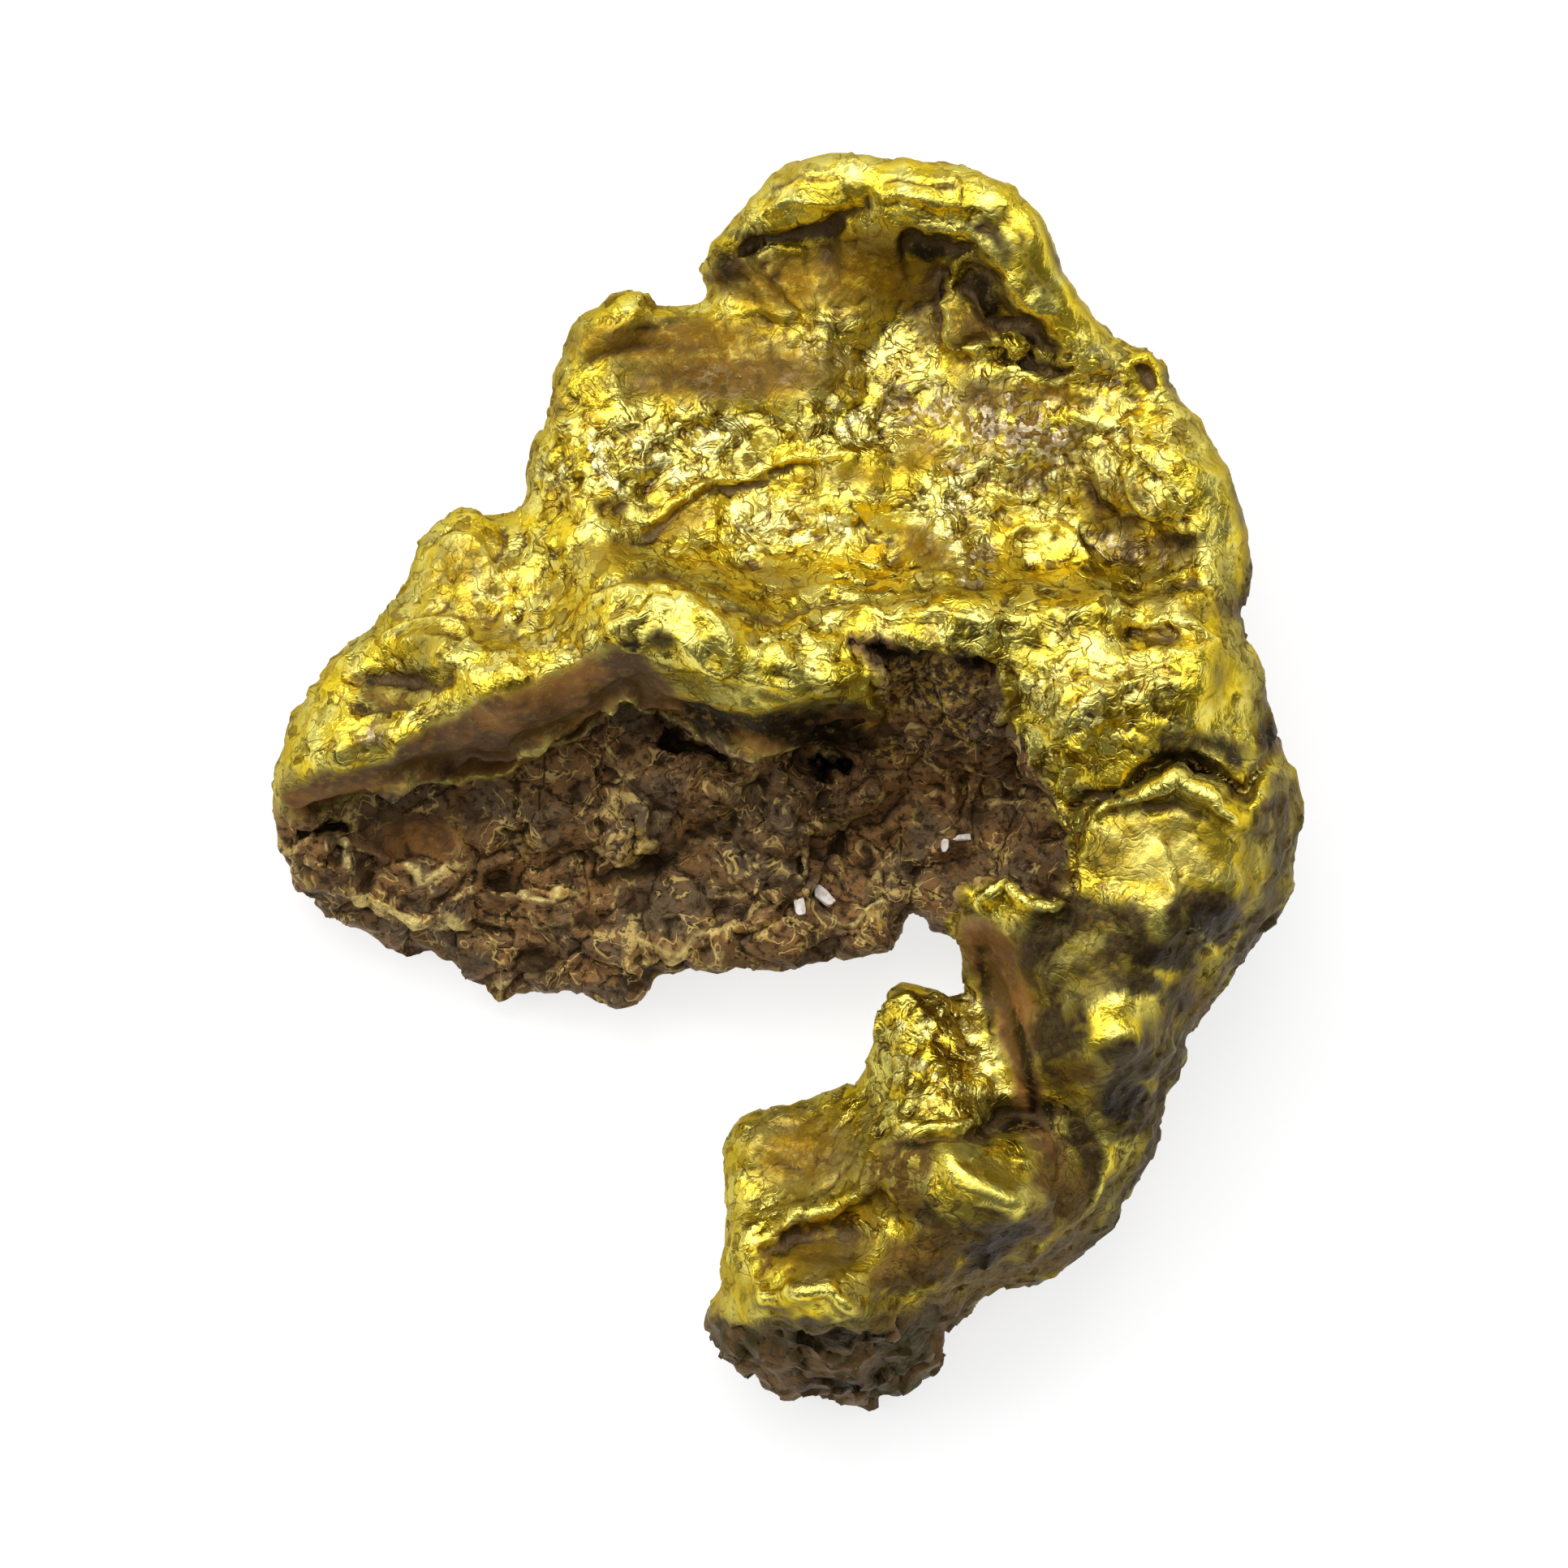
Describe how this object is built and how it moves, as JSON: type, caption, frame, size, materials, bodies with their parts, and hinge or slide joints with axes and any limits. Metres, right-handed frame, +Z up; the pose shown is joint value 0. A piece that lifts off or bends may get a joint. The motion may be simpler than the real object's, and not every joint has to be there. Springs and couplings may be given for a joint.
{
  "type": "gold nugget",
  "caption": "Small lumpy native gold nugget: a shallow dish with a rolled rim, a thick fold over a rough brown hollow, and a curled arm hooking back under it.",
  "frame": {"origin": "on the resting surface, under the middle of the nugget's plan", "axes": "+Z up from the surface, +Y towards the top lobe and away from the arm's tip, +X towards the side that the arm grows from"},
  "size_m": [0.0127, 0.0154, 0.0047],
  "materials": {
    "gold": "native gold, worn shiny on the rims and folds, with brown iron stain in the hollow and on the arm's flank",
    "quartz": "tiny dull white quartz grains caught in the hollow"
  },
  "bodies": {
    "root": {"nugget": "gold"}
  },
  "joints": []
}
